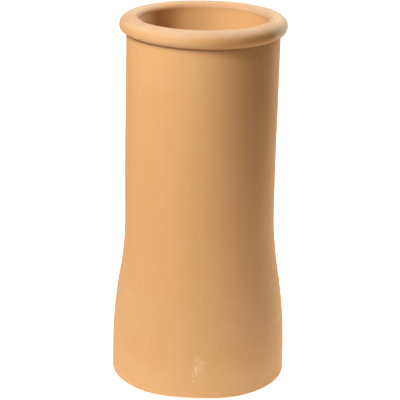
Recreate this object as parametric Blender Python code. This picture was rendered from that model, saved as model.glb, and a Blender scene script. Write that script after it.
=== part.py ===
"""Roll-top chimney pot: one hollow piece of buff fired clay, open at both ends.

A straight round shaft is finished at the top with a roll, round outside and flat on its crest, and
at the bottom it swells through a long ogee into a wider foot.  The wall has the same thickness from the roll to the foot.
Metres, +Z up.  The origin is the centre of the foot, on the surface that the pot stands on.
"""

import math

import bpy

# Driving sizes of the pot
HEIGHT = 0.600  # foot to crest of the roll
SHAFT_DIAMETER = 0.245  # outside, on the straight part
WALL = 0.020  # thickness of the clay
ROLL_PROJECTION = 0.011  # how far the roll stands out from the shaft
ROLL_RADIUS = 0.014  # of the round outer side of the roll
LIP_RADIUS = 0.008  # rounding between the crest of the roll and the bore
CREASE_RADIUS = 0.0015  # hollow in the corner under the roll
FLARE_STEP = 0.021  # how far the foot stands out from the shaft
FLARE_HEIGHT = 0.241  # height of the ogee between foot and shaft
SHOULDER_SHARE = 0.59  # share of the ogee that its lower, bulging bend takes
FOOT_HEIGHT = 0.032  # straight part of the foot below the ogee
FOOT_EDGE = 0.002  # rounding of the foot's outer and inner edges

# Facets of each bend, and around the pot
AROUND = 64
ROLL_STEPS = 16
LIP_STEPS = 5
CREASE_STEPS = 3
NECK_STEPS = 7
SHOULDER_STEPS = 8
EDGE_STEPS = 2

# The clay, as colour, roughness and metallic value
CLAY_COLOUR = (0.74, 0.43, 0.20, 1.0)
CLAY_ROUGHNESS = 0.85
CLAY_METALLIC = 0.0

# Radii and heights that follow from the driving sizes
SHAFT_RADIUS = SHAFT_DIAMETER / 2
BORE_RADIUS = SHAFT_RADIUS - WALL
FOOT_RADIUS = SHAFT_RADIUS + FLARE_STEP
ROLL_CENTRE_R = SHAFT_RADIUS + ROLL_PROJECTION - ROLL_RADIUS
ROLL_CENTRE_Z = HEIGHT - ROLL_RADIUS

FLARE_ANGLE = 2 * math.atan(FLARE_STEP / FLARE_HEIGHT)
BENDS_RADIUS = FLARE_HEIGHT / math.sin(FLARE_ANGLE)
SHOULDER_RADIUS = SHOULDER_SHARE * BENDS_RADIUS
NECK_RADIUS = BENDS_RADIUS - SHOULDER_RADIUS
FLARE_TOP_Z = FOOT_HEIGHT + FLARE_HEIGHT

MERGE_DISTANCE = 0.00005


def clear_scene():
    for old in list(bpy.data.objects):
        bpy.data.objects.remove(old, do_unlink=True)


def arc(centre, radius, start, end, steps):
    """Points (r, z) along an arc, both ends included; the angles are radians from the +r axis."""
    points = []
    for i in range(steps + 1):
        angle = start + (end - start) * i / steps
        points.append((centre[0] + radius * math.cos(angle), centre[1] + radius * math.sin(angle)))
    return points


def crease():
    """Centre and contact angle of the hollow that joins the shaft to the underside of the roll."""
    centre_r = SHAFT_RADIUS + CREASE_RADIUS
    aside = centre_r - ROLL_CENTRE_R
    below = math.sqrt((ROLL_RADIUS + CREASE_RADIUS) ** 2 - aside**2)
    return (centre_r, ROLL_CENTRE_Z - below), math.atan2(-below, aside)


def outer_side():
    """From the crest of the roll down the outside to the foot."""
    half_turn = math.pi
    quarter = math.pi / 2
    crease_centre, contact = crease()
    roll_centre = (ROLL_CENTRE_R, ROLL_CENTRE_Z)
    roll = arc(roll_centre, ROLL_RADIUS, quarter, contact, ROLL_STEPS)
    hollow = arc(crease_centre, CREASE_RADIUS, contact + half_turn, half_turn, CREASE_STEPS)
    neck_centre = (SHAFT_RADIUS + NECK_RADIUS, FLARE_TOP_Z)
    neck = arc(neck_centre, NECK_RADIUS, half_turn, half_turn + FLARE_ANGLE, NECK_STEPS)
    shoulder_centre = (FOOT_RADIUS - SHOULDER_RADIUS, FOOT_HEIGHT)
    shoulder = arc(shoulder_centre, SHOULDER_RADIUS, FLARE_ANGLE, 0, SHOULDER_STEPS)
    edge = arc((FOOT_RADIUS - FOOT_EDGE, FOOT_EDGE), FOOT_EDGE, 0, -quarter, EDGE_STEPS)
    return roll + hollow[1:] + neck + shoulder[1:] + edge


def inner_side():
    """From the foot up the inside to the crest; the ogee shares its centres with the outside."""
    half_turn = math.pi
    quarter = math.pi / 2
    inner_foot = FOOT_RADIUS - WALL
    edge = arc((inner_foot + FOOT_EDGE, FOOT_EDGE), FOOT_EDGE, -quarter, -half_turn, EDGE_STEPS)
    shoulder_centre = (FOOT_RADIUS - SHOULDER_RADIUS, FOOT_HEIGHT)
    shoulder = arc(shoulder_centre, SHOULDER_RADIUS - WALL, 0, FLARE_ANGLE, SHOULDER_STEPS)
    neck_centre = (SHAFT_RADIUS + NECK_RADIUS, FLARE_TOP_Z)
    neck = arc(neck_centre, NECK_RADIUS + WALL, half_turn + FLARE_ANGLE, half_turn, NECK_STEPS)
    lip_centre = (BORE_RADIUS + LIP_RADIUS, HEIGHT - LIP_RADIUS)
    lip = arc(lip_centre, LIP_RADIUS, half_turn, quarter, LIP_STEPS)
    return edge + shoulder + neck[1:] + lip


def clay_material():
    clay = bpy.data.materials.new("buff_clay")
    clay.use_nodes = True
    shader = clay.node_tree.nodes["Principled BSDF"]
    shader.inputs["Base Color"].default_value = CLAY_COLOUR
    shader.inputs["Roughness"].default_value = CLAY_ROUGHNESS
    shader.inputs["Metallic"].default_value = CLAY_METALLIC
    return clay


def chimney_pot():
    """The wall's outline as a closed loop in the XZ plane, turned once round Z."""
    outline = outer_side() + inner_side()
    count = len(outline)
    mesh = bpy.data.meshes.new("chimney_pot")
    corners = [(r, 0.0, z) for r, z in outline]
    edges = [(i, (i + 1) % count) for i in range(count)]
    mesh.from_pydata(corners, edges, [])
    mesh.materials.append(clay_material())
    pot = bpy.data.objects.new("chimney_pot", mesh)
    bpy.context.scene.collection.objects.link(pot)

    turn = pot.modifiers.new("turn", "SCREW")
    turn.axis = "Z"
    turn.angle = 2 * math.pi
    turn.steps = AROUND
    turn.render_steps = AROUND
    turn.use_merge_vertices = True
    turn.merge_threshold = MERGE_DISTANCE
    turn.use_smooth_shade = True
    return pot


clear_scene()
chimney_pot()
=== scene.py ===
"""The roll-top chimney pot as the photograph shows it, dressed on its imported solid.

The pot is one piece of buff clay.  The section of its wall is drawn first and turned round the
axis.  The pot is then bowed a little, as drying and firing leave it, and gets its pits, nicks,
lumps, scratches and chalky scuff.  Metres, +Z up, the front of the pot towards -Y.
"""

import math
import random
from collections import namedtuple

import bmesh
import bpy
from mathutils import Matrix, Vector
from mathutils.kdtree import KDTree


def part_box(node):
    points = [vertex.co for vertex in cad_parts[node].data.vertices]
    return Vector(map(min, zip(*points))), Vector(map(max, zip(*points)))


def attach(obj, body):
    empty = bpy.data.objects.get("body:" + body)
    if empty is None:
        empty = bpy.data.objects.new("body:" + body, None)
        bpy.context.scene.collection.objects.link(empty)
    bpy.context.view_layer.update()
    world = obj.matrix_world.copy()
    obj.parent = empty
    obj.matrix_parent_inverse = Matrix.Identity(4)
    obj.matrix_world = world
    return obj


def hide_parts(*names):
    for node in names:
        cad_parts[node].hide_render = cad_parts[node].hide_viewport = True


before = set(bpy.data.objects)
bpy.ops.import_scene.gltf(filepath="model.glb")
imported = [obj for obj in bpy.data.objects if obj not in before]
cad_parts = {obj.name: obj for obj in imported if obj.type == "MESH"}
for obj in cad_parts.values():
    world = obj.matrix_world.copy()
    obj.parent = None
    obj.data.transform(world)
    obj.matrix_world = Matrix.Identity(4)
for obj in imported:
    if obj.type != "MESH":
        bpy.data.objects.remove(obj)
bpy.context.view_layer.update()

MM = 0.001
QUARTER_TURN = math.pi / 2

# Sizes of the pot, as in its solid, with room for the waves of the skin inside its box
POT_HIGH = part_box("chimney_pot")[1]
SKIN_ROOM = 0.25 * MM
HEIGHT = POT_HIGH[2] - SKIN_ROOM
FOOT_RADIUS = POT_HIGH[0] - SKIN_ROOM
SHAFT_RADIUS = 122.5 * MM
WALL = 20 * MM
ROLL_PROJECTION = 11 * MM
ROLL_RADIUS = 14 * MM
LIP_RADIUS = 7.5 * MM
LIP_PROJECTION = 0.35 * MM
CREASE_RADIUS = 1.0 * MM
LIP_CREASE_RADIUS = 1.0 * MM
FLARE_HEIGHT = 241 * MM
SHOULDER_SHARE = 0.59
FOOT_HEIGHT = 32 * MM
FOOT_EDGE = 2 * MM

# Where the bends have their centres
BORE_RADIUS = SHAFT_RADIUS - WALL
LIP_R = BORE_RADIUS - LIP_PROJECTION + LIP_RADIUS
LIP_Z = HEIGHT - LIP_RADIUS
LIP_CREASE_R = BORE_RADIUS - LIP_CREASE_RADIUS
LIP_CREASE_BELOW = math.sqrt((LIP_RADIUS + LIP_CREASE_RADIUS) ** 2 - (LIP_R - LIP_CREASE_R) ** 2)
LIP_CREASE_Z = LIP_Z - LIP_CREASE_BELOW
LIP_CREASE_ANGLE = math.atan2(LIP_CREASE_BELOW, LIP_R - LIP_CREASE_R)
ROLL_CENTRE_R = SHAFT_RADIUS + ROLL_PROJECTION - ROLL_RADIUS
ROLL_CENTRE_Z = HEIGHT - ROLL_RADIUS
CREASE_R = SHAFT_RADIUS + CREASE_RADIUS
CREASE_BELOW = math.sqrt((ROLL_RADIUS + CREASE_RADIUS) ** 2 - (CREASE_R - ROLL_CENTRE_R) ** 2)
CREASE_Z = ROLL_CENTRE_Z - CREASE_BELOW
CREASE_ANGLE = math.atan2(-CREASE_BELOW, CREASE_R - ROLL_CENTRE_R)
FLARE_ANGLE = 2 * math.atan((FOOT_RADIUS - SHAFT_RADIUS) / FLARE_HEIGHT)
BENDS_RADIUS = FLARE_HEIGHT / math.sin(FLARE_ANGLE)
SHOULDER_RADIUS = SHOULDER_SHARE * BENDS_RADIUS
NECK_RADIUS = BENDS_RADIUS - SHOULDER_RADIUS
SHOULDER_R = FOOT_RADIUS - SHOULDER_RADIUS
NECK_R = SHAFT_RADIUS + NECK_RADIUS
FLARE_TOP = FOOT_HEIGHT + FLARE_HEIGHT

# Spacing of the mesh
AROUND = 236
OUTSIDE_ROW = 3.5 * MM
ROLL_ROW = 2.2 * MM
EDGE_ROW = 1.2 * MM
CREASE_ROW = 0.6 * MM
INSIDE_ROW = 8 * MM
UNDERSIDE_CUTS = 3
MARK_CUTS = 2
WELD = 0.02 * MM

# How drying and firing left the pot out of true
SHAFT_BOW = -1.07 * MM
SHAFT_BOW_HEIGHT = 330 * MM
SHAFT_BOW_REACH = 150 * MM
ROLL_SHIFT = 0.77 * MM
ROLL_SHIFT_REACH = 120 * MM
CREASE_TILT = math.radians(0.86)
CREASE_HINGE = 40 * MM
CREASE_BAND = 2 * MM
CREASE_TILT_REACH = 13 * MM
FOOT_LIFT = 3.1 * MM
FOOT_LIFT_ANGLE = math.radians(-6)
FOOT_LIFT_REACH = 76 * MM
WAVE_SIZE = 75 * MM
WAVE_DEPTH = 0.7 * MM
WAVE_LEVEL = 0.62
STREAK_SIZE = 13 * MM
STREAK_STRETCH = 16
STREAK_DEPTH = 0.2 * MM
STREAK_LEVEL = 0.5
CLOUD_DEPTH = 2

# One mark in the clay.  The angle is in degrees from the front towards the right, and the height is
# that of its middle.  Long and wide are half sizes, turn is in degrees from level, depth is how far
# it sinks (or stands proud, below zero), and pale is its tint, from -1 (dark) to 1 (chalky).
# A dark tint is painted shade in a hollow.
Mark = namedtuple("Mark", "angle height long wide turn depth pale")

FRONT_MARKS = (
    Mark(0.1, 440.7, 3.2, 1.1, 0, 0.45, -0.6),  # short dash high on the shaft
    Mark(-35.3, 337.5, 1.9, 1.7, 0, 0.60, -0.8),  # round pit on the left
    Mark(31.8, 162.6, 1.7, 1.5, 0, -0.50, 0.7),  # lump of grog on the right, lit above, its paleness a painted highlight
    Mark(31.6, 158.5, 1.7, 1.4, 0, 0.50, -0.7),  # and the hollow under it, darkened with painted shadow
    Mark(3.0, 163.7, 5.4, 1.2, 90, 0.22, -0.5),  # upright groove at the middle
    Mark(-2.8, 135.6, 1.9, 1.6, 0, -0.40, 0.5),  # small lump with a pit beside it
    Mark(-1.5, 135.1, 1.2, 1.2, 0, 0.30, -0.4),
    Mark(3.6, 92.7, 5.4, 1.6, -4, 0.30, -0.3),  # level nick over the scuff, and its raised lip
    Mark(3.4, 95.7, 6.4, 1.4, -3, -0.30, 0.35),
    Mark(1.3, 95.9, 2.2, 1.5, 0, -0.28, 0.6),
    Mark(-24.3, 96.4, 2.0, 1.4, 20, -0.25, 0.5),  # speck on the left of the nick
    Mark(-7.2, 98.6, 3.6, 1.0, 8, -0.22, 0.45),  # small raised arc
    Mark(-7.4, 101.1, 3.0, 1.2, 4, 0.15, -0.3),
    Mark(54.0, 103.9, 9.5, 1.4, -6, 0.08, 0.75),  # pale scratches round the right
    Mark(70.0, 104.5, 24.0, 7.5, 2, 0.03, 0.50),
    Mark(46.0, 98.2, 7.0, 0.7, 4, 0.06, 0.35),
    Mark(75.5, 176.0, 7.0, 1.2, 90, 0.15, -0.4),
    Mark(-46.8, 175.7, 5.6, 1.2, 90, 0.20, -0.6),
    Mark(-16.1, 218.6, 1.7, 1.4, 0, 0.30, -0.5),
    Mark(-39.4, 207.1, 1.4, 1.3, 0, -0.20, 0.6),
    Mark(49.3, 208.9, 2.6, 1.2, 90, 0.25, -0.5),
    Mark(17.6, 296.5, 2.6, 1.2, 90, 0.20, -0.4),
    Mark(1.3, 256.9, 3.2, 1.5, 60, 0.20, -0.4),
    Mark(-2.7, 267.7, 3.0, 1.7, 80, 0.15, -0.4),
    Mark(36.8, 180.2, 3.2, 1.2, 90, 0.20, -0.45),
    Mark(53.0, 128.9, 4.4, 1.7, 90, 0.20, -0.45),
    Mark(-5.1, 190.1, 2.4, 1.5, 0, 0.15, -0.35),
    Mark(-16.6, 168.7, 2.2, 1.3, 0, 0.15, -0.35),
    Mark(-3.3, 152.5, 1.8, 1.3, 90, 0.20, -0.45),
    Mark(14.5, 86.9, 2.2, 1.5, 70, 0.25, -0.5),
    Mark(16.7, 58.4, 1.5, 1.2, 0, -0.20, 0.5),
    Mark(30.4, 74.7, 5.0, 4.0, 0, 0.06, -0.15),
)

SCUFF_MARKS = (
    Mark(1.3, 62.9, 1.6, 1.3, 0, -0.45, 1.0),  # bright crumb, with a torn hollow under it
    Mark(-0.2, 60.2, 3.2, 1.3, 15, 0.45, -0.5),
    Mark(3.0, 65.8, 5.4, 4.2, 40, -0.06, 0.70),
    Mark(-0.1, 72.0, 7.5, 4.4, 100, 0.0, 0.45),
    Mark(-1.0, 53.6, 11.0, 4.2, 82, -0.16, 0.70),
    Mark(-0.4, 46.5, 6.0, 3.0, 88, -0.10, 0.55),
    Mark(2.4, 56.0, 11.0, 6.0, 90, 0.0, 0.22),
    Mark(-2.9, 42.8, 7.6, 2.4, 97, -0.13, 0.65),
    Mark(-1.9, 38.0, 2.4, 1.0, 90, 0.25, -0.5),
    Mark(-2.6, 33.2, 4.2, 2.4, 0, -0.30, 0.90),  # crumb at the low end
    Mark(-1.7, 29.6, 2.8, 1.1, -10, 0.25, -0.4),
    Mark(0.2, 52.0, 29.0, 14.0, 84, 0.0, 0.40),  # the wide faint smear round them all
)

# The sides and the back have the same small faults as the front, in the same number
SIDE_SEED = 23
SIDE_FIRST = 78
SIDE_LAST = 308
SIDE_PITS = 34
SIDE_LUMPS = 16
SIDE_SCRATCHES = 9
LOWEST_MARK = 14
HIGHEST_MARK = 540
HIGHEST_SCRATCH = 270
PIT_SIZE = (1.2, 2.2)
PIT_STRETCHES = (1.0, 1.2, 2.0, 2.6)
PIT_TURNS = (0, 90, 90, 65)
PIT_DEPTH = (0.2, 0.55)
LUMP_SIZE = (1.3, 1.9)
LUMP_RISE = (0.15, 0.4)
LUMP_PALE = 0.5
SCRATCH_LENGTH = (5, 13)
SCRATCH_WIDTH = 0.9
SCRATCH_TURN = (-25, 25)
SCRATCH_DEPTH = 0.1
SCRATCH_PALE = 0.6

# How far round a mark the mesh is cut finer, and how wide a mark no longer needs the finest cuts
REFINE_MARGIN = 2.5 * MM
FINE_MARGIN = 0.6 * MM
WIDE_MARK = 5 * MM
DEEPEST = 1.0 * MM


def set_mode(mode):
    bpy.ops.object.mode_set(mode=mode)


def nothing_selected():
    if bpy.context.object and bpy.context.object.mode != "OBJECT":
        set_mode("OBJECT")
    bpy.ops.object.select_all(action="DESELECT")


def pick_points(pot, wanted):
    """In edit mode, selects only the points whose place is wanted."""
    shape = bmesh.from_edit_mesh(pot.data)
    for point in shape.verts:
        point.select = wanted(point.co)
    shape.select_flush_mode()
    bmesh.update_edit_mesh(pot.data)


def pick_faces(pot, wanted):
    """In edit mode, selects only the faces whose middle is wanted."""
    shape = bmesh.from_edit_mesh(pot.data)
    for face in shape.faces:
        face.select_set(False)
    for face in shape.faces:
        if wanted(face.calc_center_median()):
            face.select_set(True)
    bmesh.update_edit_mesh(pot.data)


def rows(length, spacing):
    return max(2, round(length / spacing))


def extrude_by(across, up, spacing):
    """Draws a straight stretch of the section on from the selected point."""
    count = rows(math.hypot(across, up), spacing)
    step = (across / count, 0.0, up / count)
    for _ in range(count):
        bpy.ops.mesh.extrude_region_move(TRANSFORM_OT_translate={"value": step})


def spin_bend(centre_r, centre_z, radius, angle, spacing):
    """Draws a bend of the section on from the selected point; a positive angle turns left."""
    bpy.ops.mesh.spin(
        steps=rows(radius * abs(angle), spacing),
        angle=angle,
        center=(centre_r, 0.0, centre_z),
        axis=(0.0, 1.0, 0.0),
    )


def start_section():
    """The flat underside of the wall, an edge left over from a plane of its width."""
    width = WALL - 2 * FOOT_EDGE
    bpy.ops.mesh.primitive_plane_add(size=width, location=(FOOT_RADIUS - WALL / 2, 0.0, 0.0))
    pot = bpy.context.object
    pot.name = "roll_top_pot"
    pot.data.name = "roll_top_pot"
    bpy.ops.object.transform_apply(location=True, rotation=True, scale=True)
    set_mode("EDIT")
    bpy.ops.mesh.select_mode(type="VERT")
    pick_points(pot, lambda place: place.y > 0)
    bpy.ops.mesh.delete(type="VERT")
    bpy.ops.mesh.select_all(action="SELECT")
    bpy.ops.transform.translate(value=(0.0, width / 2, 0.0))
    bpy.ops.mesh.subdivide(number_cuts=UNDERSIDE_CUTS)
    return pot


def draw_outside(pot):
    """From the underside up the outside, round the roll and to the middle of its crest."""
    pick_points(pot, lambda place: place.x > FOOT_RADIUS - FOOT_EDGE - WELD)
    spin_bend(FOOT_RADIUS - FOOT_EDGE, FOOT_EDGE, FOOT_EDGE, QUARTER_TURN, EDGE_ROW)
    extrude_by(0.0, FOOT_HEIGHT - FOOT_EDGE, OUTSIDE_ROW)
    spin_bend(SHOULDER_R, FOOT_HEIGHT, SHOULDER_RADIUS, FLARE_ANGLE, OUTSIDE_ROW)
    spin_bend(NECK_R, FLARE_TOP, NECK_RADIUS, -FLARE_ANGLE, OUTSIDE_ROW)
    extrude_by(0.0, CREASE_Z - FLARE_TOP, OUTSIDE_ROW)
    spin_bend(CREASE_R, CREASE_Z, CREASE_RADIUS, CREASE_ANGLE, CREASE_ROW)
    over_roll = QUARTER_TURN - CREASE_ANGLE
    spin_bend(ROLL_CENTRE_R, ROLL_CENTRE_Z, ROLL_RADIUS, over_roll, ROLL_ROW)
    extrude_by(LIP_R - ROLL_CENTRE_R, 0.0, ROLL_ROW)


def draw_inside(pot):
    """From the underside up the inside; the ogee shares its centres with the outside."""
    inner_edge = FOOT_RADIUS - WALL + FOOT_EDGE
    pick_points(pot, lambda place: place.x < inner_edge + WELD and place.z < WELD)
    spin_bend(inner_edge, FOOT_EDGE, FOOT_EDGE, -QUARTER_TURN, EDGE_ROW)
    extrude_by(0.0, FOOT_HEIGHT - FOOT_EDGE, INSIDE_ROW)
    spin_bend(SHOULDER_R, FOOT_HEIGHT, SHOULDER_RADIUS - WALL, FLARE_ANGLE, INSIDE_ROW)
    spin_bend(NECK_R, FLARE_TOP, NECK_RADIUS + WALL, -FLARE_ANGLE, INSIDE_ROW)
    extrude_by(0.0, LIP_CREASE_Z - FLARE_TOP, INSIDE_ROW)
    spin_bend(LIP_CREASE_R, LIP_CREASE_Z, LIP_CREASE_RADIUS, LIP_CREASE_ANGLE, CREASE_ROW)
    spin_bend(LIP_R, LIP_Z, LIP_RADIUS, -QUARTER_TURN - LIP_CREASE_ANGLE, EDGE_ROW)


def turn_section(pot):
    """Turns the closed section once round the axis and closes the seam."""
    bpy.ops.mesh.select_all(action="SELECT")
    bpy.ops.mesh.remove_doubles(threshold=WELD)
    bpy.ops.mesh.select_all(action="SELECT")
    bpy.ops.mesh.spin(steps=AROUND, angle=2 * math.pi, center=(0, 0, 0), axis=(0, 0, 1))
    bpy.ops.mesh.select_all(action="SELECT")
    bpy.ops.mesh.remove_doubles(threshold=WELD)
    bpy.ops.mesh.select_all(action="SELECT")
    bpy.ops.mesh.normals_make_consistent(inside=False)


def pull_soft(shift, reach):
    """Moves the picked points, and the points within reach of them by less and less."""
    bpy.ops.transform.translate(
        value=shift,
        use_proportional_edit=True,
        proportional_edit_falloff="SMOOTH",
        proportional_size=reach,
    )


def lift_crease(pot):
    """Tilts the crease under the roll, so that it rises from its hinge to the left side."""

    def left_crease(place):
        if place.x >= CREASE_HINGE or place.xy.length <= BORE_RADIUS + MM:
            return False
        return abs(place.z - CREASE_Z) < CREASE_BAND

    pick_points(pot, left_crease)
    bpy.ops.transform.rotate(
        value=-CREASE_TILT,
        orient_axis="Y",
        orient_type="GLOBAL",
        center_override=(CREASE_HINGE, 0.0, CREASE_Z),
        use_proportional_edit=True,
        proportional_edit_falloff="SMOOTH",
        proportional_size=CREASE_TILT_REACH,
    )


def warp(pot):
    """Bows the shaft, moves the roll aside, lifts the crease and lifts the front of the foot."""
    for shift, height, band, reach in (
        (SHAFT_BOW, SHAFT_BOW_HEIGHT, INSIDE_ROW, SHAFT_BOW_REACH),
        (ROLL_SHIFT, ROLL_CENTRE_Z, ROLL_RADIUS, ROLL_SHIFT_REACH),
    ):
        pick_points(pot, lambda place: abs(place.z - height) <= band + WELD)
        pull_soft((shift, 0.0, 0.0), reach)
    lift_crease(pot)
    front = Vector((math.sin(FOOT_LIFT_ANGLE), -math.cos(FOOT_LIFT_ANGLE), 0.0)) * FOOT_RADIUS
    pick_points(pot, lambda place: (place - front).length < INSIDE_ROW)
    pull_soft((0.0, 0.0, FOOT_LIFT), FOOT_LIFT_REACH)


def outside_radius(height):
    """Radius of the outside, below the roll, at a height."""
    if height >= FLARE_TOP:
        return SHAFT_RADIUS
    if height <= FOOT_HEIGHT:
        return FOOT_RADIUS
    if height <= FOOT_HEIGHT + SHOULDER_RADIUS * math.sin(FLARE_ANGLE):
        return SHOULDER_R + math.sqrt(SHOULDER_RADIUS**2 - (height - FOOT_HEIGHT) ** 2)
    return NECK_R - math.sqrt(NECK_RADIUS**2 - (FLARE_TOP - height) ** 2)


def side_marks():
    """Pits, lumps and scratches for the sides and the back."""
    draw = random.Random(SIDE_SEED)
    marks = []
    for _ in range(SIDE_PITS):
        angle = draw.uniform(SIDE_FIRST, SIDE_LAST)
        height = draw.uniform(LOWEST_MARK, HIGHEST_MARK)
        size = draw.uniform(*PIT_SIZE)
        stretch = draw.choice(PIT_STRETCHES)
        turn = draw.choice(PIT_TURNS)
        depth = draw.uniform(*PIT_DEPTH)
        # A pit's dark tint grows with its depth: painted shade.
        marks.append(Mark(angle, height, size * stretch, size, turn, depth, -depth))
    for _ in range(SIDE_LUMPS):
        angle = draw.uniform(SIDE_FIRST, SIDE_LAST)
        height = draw.uniform(LOWEST_MARK, HIGHEST_MARK)
        size = draw.uniform(*LUMP_SIZE)
        rise = draw.uniform(*LUMP_RISE)
        marks.append(Mark(angle, height, size, size, 0, -rise, LUMP_PALE))
    for _ in range(SIDE_SCRATCHES):
        angle = draw.uniform(SIDE_FIRST, SIDE_LAST)
        height = draw.uniform(LOWEST_MARK, HIGHEST_SCRATCH)
        length = draw.uniform(*SCRATCH_LENGTH)
        turn = draw.uniform(*SCRATCH_TURN)
        mark = Mark(angle, height, length, SCRATCH_WIDTH, turn, SCRATCH_DEPTH, SCRATCH_PALE)
        marks.append(mark)
    return marks


Placed = namedtuple("Placed", "mark middle along across outwards long wide")


def place_mark(mark):
    """The mark with its middle on the outside of the pot, and its own directions and half sizes."""
    angle = math.radians(mark.angle)
    turn = math.radians(mark.turn)
    height = mark.height * MM
    radius = outside_radius(height)
    outwards = Vector((math.sin(angle), -math.cos(angle), 0.0))
    level = Vector((math.cos(angle), math.sin(angle), 0.0))
    upright = Vector((0.0, 0.0, 1.0))
    middle = outwards * radius + upright * height
    along = level * math.cos(turn) + upright * math.sin(turn)
    across = upright * math.cos(turn) - level * math.sin(turn)
    return Placed(mark, middle, along, across, outwards, mark.long * MM, mark.wide * MM)


def spread(placed, place, margin=0.0):
    """How far a place is from the mark's middle, as a share of the mark's own size."""
    offset = place - placed.middle
    if abs(offset.dot(placed.outwards)) > WALL / 2:
        return math.inf
    far_along = offset.dot(placed.along) / (placed.long + margin)
    far_across = offset.dot(placed.across) / (placed.wide + margin)
    return math.hypot(far_along, far_across)


def refine(pot, marks, margin):
    """Cuts the faces round the marks finer each way, so that the marks get a clean shape."""
    middles = KDTree(len(marks))
    for index, placed in enumerate(marks):
        middles.insert(placed.middle, index)
    middles.balance()
    reach = max(placed.long for placed in marks) + margin

    def wanted(place):
        near = middles.find_range(place, reach)
        return any(spread(marks[index], place, margin) < 1 for _, index, _ in near)

    pick_faces(pot, wanted)
    bpy.ops.mesh.subdivide(number_cuts=MARK_CUTS, ngon=False)


def mark_weights(pot, marks):
    """For each point of the mesh near a mark, how far it moves and how pale or dark it is."""
    points = pot.data.vertices
    places = KDTree(len(points))
    for point in points:
        places.insert(point.co, point.index)
    places.balance()
    depths = {}
    tints = {}
    for placed in marks:
        for place, index, _ in places.find_range(placed.middle, placed.long + placed.wide):
            share = spread(placed, place)
            if share >= 1:
                continue
            swell = (1 - share**2) ** 2
            depths[index] = depths.get(index, 0.0) + placed.mark.depth * MM * swell
            tints[index] = tints.get(index, 0.0) + placed.mark.pale * swell
    return depths, tints


def push_skin(pot, name, group, strength, texture=None, holder=None, level=0.0):
    """Moves the skin along its normals by a Displace modifier, which is then applied."""
    push = pot.modifiers.new(name, "DISPLACE")
    push.strength = strength
    push.mid_level = level
    push.vertex_group = group
    push.direction = "NORMAL"
    if texture:
        push.texture = texture
        push.texture_coords = "OBJECT" if holder else "LOCAL"
        push.texture_coords_object = holder
    bpy.ops.object.modifier_apply(modifier=push.name)


def cloud_texture(name, size):
    clouds = bpy.data.textures.new(name, "CLOUDS")
    clouds.noise_scale = size
    clouds.noise_depth = CLOUD_DEPTH
    return clouds


def roughen_skin(pot, marks):
    """Slow waves and upright streaks from the moulding, then the marks, pressed in and raised."""
    above_floor = [point.index for point in pot.data.vertices if point.co.z > WELD]
    pot.vertex_groups.new(name="skin").add(above_floor, 1.0, "REPLACE")
    waves = cloud_texture("waves", WAVE_SIZE)
    push_skin(pot, "waves", "skin", WAVE_DEPTH, waves, level=WAVE_LEVEL)
    nothing_selected()
    bpy.ops.object.empty_add(location=(0.0, 0.0, 0.0))
    stretch = bpy.context.object
    stretch.scale = (1.0, 1.0, STREAK_STRETCH)
    bpy.context.view_layer.update()
    pick_object(pot)
    streaks = cloud_texture("streaks", STREAK_SIZE)
    push_skin(pot, "streaks", "skin", STREAK_DEPTH, streaks, stretch, level=STREAK_LEVEL)
    bpy.data.objects.remove(stretch, do_unlink=True)

    depths, tints = mark_weights(pot, marks)
    hollows = pot.vertex_groups.new(name="hollows")
    lumps = pot.vertex_groups.new(name="lumps")
    for index, depth in depths.items():
        group = hollows if depth > 0 else lumps
        group.add([index], min(1.0, abs(depth) / DEEPEST), "REPLACE")
    push_skin(pot, "hollows", "hollows", -DEEPEST)
    push_skin(pot, "lumps", "lumps", DEEPEST)
    # The pale tints are chalk; the dark tints are painted shade in the hollows.
    for name, sign in (("chalk", 1), ("hollow_shade", -1)):
        layer = pot.data.attributes.new(name, "FLOAT", "POINT")
        for index, tint in tints.items():
            layer.data[index].value = min(1.0, max(0.0, sign * tint))


def pick_object(item):
    nothing_selected()
    item.select_set(True)
    bpy.context.view_layer.objects.active = item


def model_pot():
    """The whole pot as one closed skin."""
    nothing_selected()
    pot = start_section()
    draw_outside(pot)
    draw_inside(pot)
    turn_section(pot)
    warp(pot)
    marks = [place_mark(mark) for mark in (*FRONT_MARKS, *SCUFF_MARKS, *side_marks())]
    bpy.ops.mesh.select_mode(type="FACE")
    refine(pot, marks, REFINE_MARGIN)
    refine(pot, [placed for placed in marks if placed.wide < WIDE_MARK], FINE_MARGIN)
    set_mode("OBJECT")
    roughen_skin(pot, marks)
    pick_object(pot)
    bpy.ops.object.shade_smooth()
    return pot


# Colours of the clay and of what lies on it
BODY_CLAY = (0.662, 0.354, 0.144, 1.0)
WARM_CLAY = (0.646, 0.308, 0.108, 1.0)
PALE_CLAY = (0.714, 0.444, 0.215, 1.0)
INSIDE_CLAY = (0.72, 0.425, 0.178, 1.0)
# Painted light, for the lit right side of the bore
BORE_PAINTED_LIGHT_CLAY = (0.84, 0.47, 0.195, 1.0)
BLEACHED_CLAY = (0.80, 0.48, 0.25, 1.0)
# Painted shade, for the shaded right of the shaft under the roll
SHAFT_PAINTED_SHADE = (0.53, 0.25, 0.081, 1.0)
# Painted shade, for the underside of the roll
ROLL_PAINTED_SHADE = (0.60, 0.29, 0.085, 1.0)
# Painted shade, for the shaded left of the bore
BORE_PAINTED_SHADE = (0.46, 0.23, 0.070, 1.0)
# Painted sheen, for the bore's far left wall under the lip
BORE_PAINTED_SHEEN = (0.88, 0.66, 0.45, 1.0)
GROG_CLAY = (0.32, 0.16, 0.07, 1.0)
CHALK = (0.78, 0.50, 0.28, 1.0)
# Dust and painted sheen, for the crest and the lip
DUST_AND_SHEEN = (0.73, 0.555, 0.375, 1.0)
# Painted highlight, for the roll's right end
ROLL_END_HIGHLIGHT = (0.92, 0.72, 0.50, 1.0)
# Painted shade, for the hollows of the marks
HOLLOW_SHADE_COLOUR = (0.31, 0.16, 0.07, 1.0)
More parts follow.
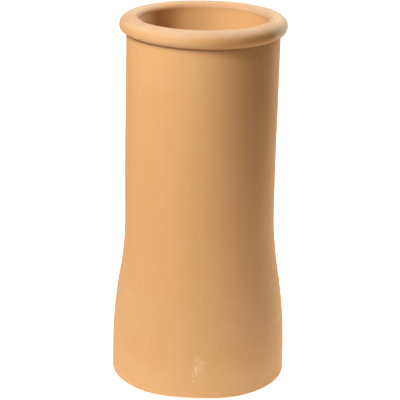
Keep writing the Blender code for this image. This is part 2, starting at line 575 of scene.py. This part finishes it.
# Painted shade, for the crease under the roll
CREASE_SHADE_COLOUR = (0.30, 0.13, 0.045, 1.0)

# A soft-edged stain, or a patch of painted light or shade: its colour, its full strength, and its
# limits.
# A limit is an axis with the place on it where the patch starts and the place where it is full.
Stain = namedtuple("Stain", "colour strength limits")

OVERALL_STAINS = (
    # a warmer band round the middle of the shaft, and a paler foot
    Stain(WARM_CLAY, 0.30, (("Z", 0.15, 0.24), ("Z", 0.54, 0.47))),
    Stain(PALE_CLAY, 0.20, (("Z", 0.075, 0.02),)),
)
OUTSIDE_STAINS_AND_PAINTED_LIGHT = (
    # painted shade on the right of the shaft, stronger towards the roll
    Stain(
        SHAFT_PAINTED_SHADE,
        0.85,
        (("X", -0.02, 0.075), ("Y", -0.046, -0.074), ("Z", 0.20, 0.66), ("Z", 0.594, 0.583)),
    ),
    # the same painted shade on the underside of the roll
    Stain(
        ROLL_PAINTED_SHADE,
        0.65,
        (("X", -0.01, 0.04), ("Y", -0.046, -0.074), ("Z", 0.568, 0.576), ("Z", 0.596, 0.588)),
    ),
    # clean clay on the left end of the roll
    Stain(BODY_CLAY, 0.6, (("X", -0.108, -0.122), ("Z", 0.575, 0.585))),
    # dust on the left of the roll's face
    Stain(
        DUST_AND_SHEEN,
        0.14,
        (
            ("X", -0.01, -0.03),
            ("X", -0.100, -0.070),
            ("Y", -0.02, -0.05),
            ("Z", 0.572, 0.576),
            ("Z", 0.598, 0.592),
        ),
    ),
    # dust and painted sheen on the slope of the far lip, left and right, and between them a painted
    # highlight on the roll's right end
    Stain(DUST_AND_SHEEN, 0.65, (("X", -0.050, -0.080), ("Y", -0.01, 0.02), ("Z", 0.586, 0.592))),
    Stain(ROLL_END_HIGHLIGHT, 0.65, (("X", 0.102, 0.124), ("Z", 0.573, 0.583))),
    Stain(DUST_AND_SHEEN, 0.5, (("X", 0.015, 0.055), ("Y", -0.02, 0.02), ("Z", 0.586, 0.592))),
    # bleached clay along the back of the crest
    Stain(BLEACHED_CLAY, 0.75, (("X", 0.090, 0.055), ("Y", 0.03, 0.07), ("Z", 0.578, 0.586))),
)
BORE_PAINTED_LIGHT = (
    # painted shade on the left of the bore, and painted light on its right
    Stain(BORE_PAINTED_SHADE, 0.72, (("X", -0.022, -0.060), ("X", -0.088, -0.076))),
    Stain(BORE_PAINTED_LIGHT_CLAY, 0.60, (("X", 0.0, 0.040),)),
    # painted sheen on the far left, under the lip
    Stain(BORE_PAINTED_SHEEN, 0.80, (("X", -0.070, -0.092), ("Y", -0.02, 0.02), ("Z", 0.50, 0.57))),
)

# A clay: sand and streaks are for its relief, dusty for the dust and painted sheen on the roll's
# crest, grimy for the painted shade in its crease
Clay = namedtuple("Clay", "name colour stains sand streaks dusty grimy")
WIPED_CLAY = Clay("wiped_clay", BODY_CLAY, OUTSIDE_STAINS_AND_PAINTED_LIGHT, 0.6, 0.7, 0.60, 0.8)
BORE_CLAY = Clay("bore_clay", INSIDE_CLAY, BORE_PAINTED_LIGHT, 1.2, 0.3, 0.0, 0.0)

# A noise, with its scale in waves per metre, and the part of it that runs from nothing to full
Pattern = namedtuple("Pattern", "scale detail roughness low high")
WARM_PATCHES = Pattern(11.0, 3.0, 0.55, 0.40, 0.64)
WARM_SHARE = 0.28
SLIP_STREAKS = Pattern(120.0, 4.0, 0.6, 0.46, 0.72)
SLIP_CLOUDS = Pattern(34.0, 4.0, 0.6, 0.42, 0.66)
SLIP_STRETCH = 22.0
SLIP_SHARE = 0.10
WORN_PATCHES = Pattern(90.0, 4.0, 0.6, 0.3, 0.7)
ROUGHNESS = (0.74, 0.90)
SHINE = 0.25

# Grains of burnt grog: their number along a metre, their size and edge, and how many show
GROG_GRAINS = 330.0
GROG_EDGE = (0.30, 0.10)
GROG_SHOWN = 0.12
GROG_FAINTEST = 0.06
GROG_SHARE = 0.20

# Relief of the fired surface
SAND_SCALE = 1500.0
SAND_DETAIL = (3.0, 0.65)
PEEL_SCALE = 260.0
PEEL_DETAIL = (2.0, 0.5)
WIPING_SCALE = 420.0
WIPING_DETAIL = (3.0, 0.6)
WIPING_STRETCH = 18.0
RELIEF_STRENGTH = 0.35
RELIEF_DEPTH = 0.25 * MM

# Chalk, which catches on the high grains, and painted shade in the hollows of the marks
CRUMB_SCALE = 700.0
CRUMB_DETAIL = (4.0, 0.7)
CRUMB_STRETCH = 2.5
CRUMB_MIDDLE = 0.5
CRUMB_EDGE = (0.1, 0.8)
THINNEST_CHALK = 0.45
CHALK_SHARE = 0.75
HOLLOW_SHADE_SHARE = 0.6

# Dust and painted sheen on the crest: where it starts and is full below the top and about the
# middle of the lip
DUST_AND_SHEEN_BELOW = (12 * MM, 3 * MM)
DUST_AND_SHEEN_INWARDS = 5.5 * MM
DUST_AND_SHEEN_OUTWARDS = 0.5 * MM
DUST_AND_SHEEN_ASIDE = 2.5 * MM
DUST_AND_SHEEN_PATCHES = Pattern(60.0, 4.0, 0.6, 0.25, 0.75)
THINNEST_DUST_AND_SHEEN = 0.6

# Streaks round the roll, from the tool that formed it
ROLL_STREAKS = Pattern(190.0, 3.0, 0.6, 0.42, 0.60)
ROLL_STREAK_SQUEEZE = (0.12, 0.12, 1.0)
ROLL_STREAKS_START = 4 * MM
ROLL_STREAK_SHARE = 0.36

# Painted shade in the crease: its height over the crease's centre, and how far off it ends and is
# full
CREASE_SHADE_RAISED = 0.8 * MM
CREASE_SHADE_FADE = (3.6 * MM, 0.8 * MM)


def add(tree, kind, inputs=None, **settings):
    """A node with its settings; each input is a value, or the socket that feeds it."""
    node = tree.nodes.new(kind)
    for name, value in settings.items():
        setattr(node, name, value)
    for name, value in (inputs or {}).items():
        if isinstance(value, bpy.types.NodeSocket):
            tree.links.new(value, node.inputs[name])
        else:
            node.inputs[name].default_value = value
    return node


def noise(tree, place, scale, detail, roughness):
    inputs = {"Vector": place, "Scale": scale, "Detail": detail, "Roughness": roughness}
    return add(tree, "ShaderNodeTexNoise", inputs).outputs["Fac"]


def levels(tree, value, low, high, new_low=0.0, new_high=1.0):
    inputs = {
        "Value": value,
        "From Min": low,
        "From Max": high,
        "To Min": new_low,
        "To Max": new_high,
    }
    return add(tree, "ShaderNodeMapRange", inputs, interpolation_type="SMOOTHSTEP").outputs[0]


def pattern(tree, place, kind, thinnest=0.0, fullest=1.0):
    spots = noise(tree, place, kind.scale, kind.detail, kind.roughness)
    return levels(tree, spots, kind.low, kind.high, thinnest, fullest)


def math_node(tree, operation, first, second):
    return add(tree, "ShaderNodeMath", {0: first, 1: second}, operation=operation).outputs[0]


def times(tree, first, second):
    return math_node(tree, "MULTIPLY", first, second)


def vector_node(tree, operation, first, second, third=(0.0, 0.0, 0.0)):
    inputs = {0: first, 1: second, 2: third}
    return add(tree, "ShaderNodeVectorMath", inputs, operation=operation).outputs[0]


def mix(tree, share, first, second):
    inputs = {0: share, 6: first, 7: second}
    return add(tree, "ShaderNodeMix", inputs, data_type="RGBA").outputs[2]


def coordinate(tree, place, axis):
    return add(tree, "ShaderNodeSeparateXYZ", {0: place}).outputs[axis]


def stretched(tree, place, stretch):
    """The place with its height squeezed, which draws a pattern out into upright streaks."""
    return vector_node(tree, "MULTIPLY", place, (1.0, 1.0, 1.0 / stretch))


def new_group(name, inputs, outputs):
    """An empty node group with its named sockets, and its input and output nodes."""
    tree = bpy.data.node_groups.new(name, "ShaderNodeTree")
    for label, kind in inputs:
        tree.interface.new_socket(label, in_out="INPUT", socket_type="NodeSocket" + kind)
    for label, kind in outputs:
        tree.interface.new_socket(label, in_out="OUTPUT", socket_type="NodeSocket" + kind)
    return tree, tree.nodes.new("NodeGroupInput"), tree.nodes.new("NodeGroupOutput")


def use_group(tree, group, inputs):
    return add(tree, "ShaderNodeGroup", inputs, node_tree=group).outputs[0]


def clay_tones_group():
    """The clay's own colour: slow patches of warmer clay and thin upright streaks of paler slip."""
    inputs = [("Place", "Vector"), ("Clay", "Color"), ("Warm", "Color"), ("Pale", "Color")]
    tree, enter, leave = new_group("clay_tones", inputs, [("Colour", "Color")])
    place = enter.outputs["Place"]
    warm = times(tree, pattern(tree, place, WARM_PATCHES), WARM_SHARE)
    warmed = mix(tree, warm, enter.outputs["Clay"], enter.outputs["Warm"])
    streaks = pattern(tree, stretched(tree, place, SLIP_STRETCH), SLIP_STREAKS)
    clouds = pattern(tree, place, SLIP_CLOUDS)
    slip = times(tree, math_node(tree, "ADD", streaks, clouds), SLIP_SHARE)
    tree.links.new(mix(tree, slip, warmed, enter.outputs["Pale"]), leave.inputs["Colour"])
    return tree


def grog_group():
    """Grains of darker burnt grog, a few in each square centimetre, each of its own strength."""
    inputs = [("Place", "Vector"), ("Grains per metre", "Float"), ("Share", "Float")]
    tree, enter, leave = new_group("grog", inputs, [("Mask", "Float")])
    grains = {"Vector": enter.outputs["Place"], "Scale": enter.outputs["Grains per metre"]}
    cells = add(tree, "ShaderNodeTexVoronoi", grains)
    dot = levels(tree, cells.outputs["Distance"], *GROG_EDGE)
    lot = add(tree, "ShaderNodeSeparateColor", {0: cells.outputs["Color"]}).outputs[0]
    drawn = math_node(tree, "SUBTRACT", enter.outputs["Share"], lot)
    chosen = levels(tree, drawn, 0.0, GROG_FAINTEST)
    tree.links.new(times(tree, dot, chosen), leave.inputs["Mask"])
    return tree


def grain_group():
    """Height of the fired surface: fine sandy grain over a soft orange peel."""
    inputs = [("Place", "Vector"), ("Sand", "Float"), ("Streaks", "Float")]
    tree, enter, leave = new_group("clay_grain", inputs, [("Height", "Float")])
    place = enter.outputs["Place"]
    sand = times(tree, noise(tree, place, SAND_SCALE, *SAND_DETAIL), enter.outputs["Sand"])
    peel = noise(tree, place, PEEL_SCALE, *PEEL_DETAIL)
    upright = stretched(tree, place, WIPING_STRETCH)
    wiped = noise(tree, upright, WIPING_SCALE, *WIPING_DETAIL)
    wiped = times(tree, wiped, enter.outputs["Streaks"])
    height = math_node(tree, "ADD", math_node(tree, "ADD", sand, wiped), peel)
    tree.links.new(height, leave.inputs["Height"])
    return tree


def chalk_group():
    """Breaks a painted smear up as dry chalk catches only the high grains of the clay."""
    inputs = [("Place", "Vector"), ("Smear", "Float")]
    tree, enter, leave = new_group("broken_chalk", inputs, [("Mask", "Float")])
    smear = enter.outputs["Smear"]
    upright = stretched(tree, enter.outputs["Place"], CRUMB_STRETCH)
    crumbs = noise(tree, upright, CRUMB_SCALE, *CRUMB_DETAIL)
    broken = math_node(tree, "ADD", smear, math_node(tree, "SUBTRACT", crumbs, CRUMB_MIDDLE))
    cover = levels(tree, broken, *CRUMB_EDGE, THINNEST_CHALK, 1.0)
    tree.links.new(times(tree, cover, smear), leave.inputs["Mask"])
    return tree


def lay_tint_patch(tree, place, colour, tint_patch):
    """The stain or painted light lies where every one of its limits lets it."""
    mask = tint_patch.strength
    for axis, none, full in tint_patch.limits:
        mask = times(tree, levels(tree, coordinate(tree, place, axis), none, full), mask)
    return mix(tree, mask, colour, tint_patch.colour)


def dress_roll(tree, place, colour, dusty):
    """Dust and painted sheen on the crest of the roll, a little to one side, and faint streaks
    round the roll.
    """
    height = coordinate(tree, place, "Z")
    level = vector_node(tree, "MULTIPLY_ADD", place, (1.0, 1.0, 0.0), (-DUST_AND_SHEEN_ASIDE, 0.0, 0.0))
    length = add(tree, "ShaderNodeVectorMath", {0: level}, operation="LENGTH")
    from_axis = length.outputs["Value"]
    low, full = DUST_AND_SHEEN_BELOW
    crest = levels(tree, height, HEIGHT - low, HEIGHT - full, 0.0, dusty)
    outer = levels(tree, from_axis, LIP_R - DUST_AND_SHEEN_INWARDS, LIP_R + DUST_AND_SHEEN_OUTWARDS)
    dust_and_sheen_cover = pattern(tree, place, DUST_AND_SHEEN_PATCHES, THINNEST_DUST_AND_SHEEN, 1.0)
    colour = mix(tree, times(tree, times(tree, crest, outer), dust_and_sheen_cover), colour, DUST_AND_SHEEN)

    outwards = add(tree, "ShaderNodeCombineXYZ", {"X": from_axis}).outputs[0]
    round_axis = vector_node(tree, "MULTIPLY_ADD", place, ROLL_STREAK_SQUEEZE, outwards)
    streaks = pattern(tree, round_axis, ROLL_STREAKS)
    share = ROLL_STREAK_SHARE * dusty
    on_roll = levels(tree, height, CREASE_Z, CREASE_Z + ROLL_STREAKS_START, 0.0, share)
    return mix(tree, times(tree, streaks, on_roll), colour, WARM_CLAY)


def shade_crease(tree, place, colour, grimy):
    """Painted shade along the crease under the roll, which rises from its hinge to the left side.
    """
    to_hinge = math_node(tree, "SUBTRACT", CREASE_HINGE, coordinate(tree, place, "X"))
    rise = times(tree, math_node(tree, "MAXIMUM", to_hinge, 0.0), math.tan(CREASE_TILT))
    crease = math_node(tree, "ADD", rise, CREASE_Z + CREASE_SHADE_RAISED)
    off_crease = math_node(tree, "SUBTRACT", coordinate(tree, place, "Z"), crease)
    off_crease = math_node(tree, "ABSOLUTE", off_crease, 0.0)
    crease_shade = times(tree, levels(tree, off_crease, *CREASE_SHADE_FADE), grimy)
    return mix(tree, crease_shade, colour, CREASE_SHADE_COLOUR)


def lay_marks(tree, place, colour, chalk_tool):
    """The chalk of the marks and the painted shade in their hollows, which the mesh carries from
    point to point.
    """
    chalk = add(tree, "ShaderNodeAttribute", attribute_name="chalk").outputs["Fac"]
    chalk = use_group(tree, chalk_tool, {"Place": place, "Smear": chalk})
    colour = mix(tree, times(tree, chalk, CHALK_SHARE), colour, CHALK)
    hollow_shade = add(tree, "ShaderNodeAttribute", attribute_name="hollow_shade").outputs["Fac"]
    return mix(tree, times(tree, hollow_shade, HOLLOW_SHADE_SHARE), colour, HOLLOW_SHADE_COLOUR)


def fired_clay(clay, groups):
    material = bpy.data.materials.new(clay.name)
    material.use_nodes = True
    tree = material.node_tree
    shader = tree.nodes["Principled BSDF"]
    place = add(tree, "ShaderNodeTexCoord").outputs["Object"]
    tones = {"Place": place, "Clay": clay.colour, "Warm": WARM_CLAY, "Pale": PALE_CLAY}
    colour = use_group(tree, groups["tones"], tones)
    for tint_patch in (*OVERALL_STAINS, *clay.stains):
        colour = lay_tint_patch(tree, place, colour, tint_patch)
    grog = {"Place": place, "Grains per metre": GROG_GRAINS, "Share": GROG_SHOWN}
    grog = times(tree, use_group(tree, groups["grog"], grog), GROG_SHARE)
    colour = mix(tree, grog, colour, GROG_CLAY)
    colour = dress_roll(tree, place, colour, clay.dusty)
    colour = shade_crease(tree, place, colour, clay.grimy)
    colour = lay_marks(tree, place, colour, groups["chalk"])
    tree.links.new(colour, shader.inputs["Base Color"])

    roughness = pattern(tree, place, WORN_PATCHES, *ROUGHNESS)
    tree.links.new(roughness, shader.inputs["Roughness"])
    grain = {"Place": place, "Sand": clay.sand, "Streaks": clay.streaks}
    relief = use_group(tree, groups["grain"], grain)
    relief = {"Height": relief, "Strength": RELIEF_STRENGTH, "Distance": RELIEF_DEPTH}
    tree.links.new(add(tree, "ShaderNodeBump", relief).outputs[0], shader.inputs["Normal"])
    shader.inputs["Specular IOR Level"].default_value = SHINE
    return material


def dress_pot(pot):
    """The outside is wiped smooth; the bore below the lip was left rougher."""
    groups = {
        "tones": clay_tones_group(),
        "grog": grog_group(),
        "grain": grain_group(),
        "chalk": chalk_group(),
    }
    for clay in (WIPED_CLAY, BORE_CLAY):
        pot.data.materials.append(fired_clay(clay, groups))
    for face in pot.data.polygons:
        middle = face.center
        bore_side = outside_radius(middle.z) - WALL / 2
        inside = math.hypot(middle.x, middle.y) < bore_side and middle.z < LIP_CREASE_Z
        face.material_index = 1 if inside else 0


# The photograph's view
CAMERA_PLACE = (0.0, -2.520, 1.131)
CAMERA_DOWN = math.radians(18.404)
CAMERA_SIDE = math.radians(0.0073)
CAMERA_ROLL = math.radians(0.959)
LENS = 145.83
SENSOR_WIDTH = 36.0
FLOOR_SIZE = 16.0

Softbox = namedtuple("Softbox", "name side up distance width height power")
SOFTBOXES = (
    Softbox("key", -43, 46, 2.2, 0.8, 0.8, 51.5),
    Softbox("rear_low", 140, 20, 2.2, 1.1, 1.9, 25),
    Softbox("rear_high", 140, 45, 2.2, 1.1, 1.1, 20),
)
AIM = Vector((0.0, 0.0, 0.32))
WORLD_LIGHT = 0.015
WHITE = (1.0, 1.0, 1.0, 1.0)

# The paper that the pot stands on, and how strongly it is lit from behind where the view sees it
PAPER = (0.92, 0.92, 0.92, 1.0)
PAPER_LIGHTER = (0.94, 0.94, 0.94, 1.0)
PAPER_TONES = Pattern(3.0, 2.0, 0.5, 0.3, 0.7)
PAPER_ROUGHNESS = 0.9
PAPER_SHINE = 0.1
GLOW_BEHIND = 0.89
GLOW_BEFORE = 0.55
GLOW_NEAR = -0.05
GLOW_FAR = 0.15
GLOW_ELSEWHERE = 0.06
PALE_ELSEWHERE = 0.60
GLOW_WIDENS = 0.122
GLOW_HALF_WIDTH = 0.40
GLOW_FADED_WIDTH = 0.80
GLOW_FRONT = -0.18
GLOW_FADED_FRONT = -0.50


def set_camera():
    data = bpy.data.cameras.new("view")
    data.lens = LENS
    data.sensor_width = SENSOR_WIDTH
    camera = bpy.data.objects.new("view", data)
    turn = Matrix.Rotation(CAMERA_SIDE, 4, "Z")
    tilt = Matrix.Rotation(QUARTER_TURN - CAMERA_DOWN, 4, "X")
    roll = Matrix.Rotation(CAMERA_ROLL, 4, "Z")
    camera.matrix_world = Matrix.Translation(CAMERA_PLACE) @ turn @ tilt @ roll
    bpy.context.scene.collection.objects.link(camera)
    bpy.context.scene.camera = camera


def set_lights():
    """Softboxes placed by their angle to the right of the front and above the floor."""
    for box in SOFTBOXES:
        data = bpy.data.lights.new(box.name, "AREA")
        data.shape = "RECTANGLE"
        data.size = box.width
        data.size_y = box.height
        data.energy = box.power
        light = bpy.data.objects.new(box.name, data)
        side = math.radians(box.side)
        up = math.radians(box.up)
        level = box.distance * math.cos(up)
        offset = (level * math.sin(side), -level * math.cos(side), box.distance * math.sin(up))
        light.location = AIM + Vector(offset)
        light.rotation_euler = (AIM - light.location).to_track_quat("-Z", "Y").to_euler()
        light.visible_camera = False
        bpy.context.scene.collection.objects.link(light)


def set_world():
    """Next to no light, but a pale grey room where the view looks past the floor."""
    world = bpy.data.worlds.new("studio")
    world.use_nodes = True
    sky = world.node_tree.nodes["Background"]
    sky.inputs["Color"].default_value = WHITE
    seen = add(world.node_tree, "ShaderNodeLightPath").outputs["Is Camera Ray"]
    light = levels(world.node_tree, seen, 0.0, 1.0, WORLD_LIGHT, PALE_ELSEWHERE)
    world.node_tree.links.new(light, sky.inputs["Strength"])
    bpy.context.scene.world = world


def set_floor():
    """White paper that glows behind the pot, as the photograph's background is pure white."""
    nothing_selected()
    bpy.ops.mesh.primitive_plane_add(size=FLOOR_SIZE, location=(0.0, 0.0, 0.0))
    floor = bpy.context.object
    floor.name = "floor"
    paper = bpy.data.materials.new("white_paper")
    paper.use_nodes = True
    tree = paper.node_tree
    shader = tree.nodes["Principled BSDF"]
    place = add(tree, "ShaderNodeTexCoord").outputs["Object"]
    tone = pattern(tree, place, PAPER_TONES)
    tree.links.new(mix(tree, tone, PAPER, PAPER_LIGHTER), shader.inputs["Base Color"])
    parts = add(tree, "ShaderNodeSeparateXYZ", {0: place})
    aside = math_node(tree, "ABSOLUTE", parts.outputs["X"], 0.0)
    behind = parts.outputs["Y"]
    aside = math_node(tree, "SUBTRACT", aside, math_node(tree, "MULTIPLY", behind, GLOW_WIDENS))
    across = levels(tree, aside, GLOW_HALF_WIDTH, GLOW_FADED_WIDTH, 1.0, 0.0)
    along = levels(tree, behind, GLOW_FADED_FRONT, GLOW_FRONT)
    strength = levels(tree, behind, GLOW_NEAR, GLOW_FAR, GLOW_BEFORE, GLOW_BEHIND)
    glow = math_node(tree, "MULTIPLY", math_node(tree, "MULTIPLY", across, along), strength)
    glow = math_node(tree, "ADD", glow, GLOW_ELSEWHERE)
    seen = add(tree, "ShaderNodeLightPath").outputs["Is Camera Ray"]
    glow = math_node(tree, "MAXIMUM", glow, math_node(tree, "MULTIPLY", seen, PALE_ELSEWHERE))
    tree.links.new(glow, shader.inputs["Emission Strength"])
    shader.inputs["Emission Color"].default_value = WHITE
    shader.inputs["Roughness"].default_value = PAPER_ROUGHNESS
    shader.inputs["Specular IOR Level"].default_value = PAPER_SHINE
    floor.data.materials.append(paper)


pot = model_pot()
dress_pot(pot)
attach(pot, "root")
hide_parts("chimney_pot")

set_floor()
set_lights()
set_world()
set_camera()
bpy.context.scene.view_settings.view_transform = "Standard"
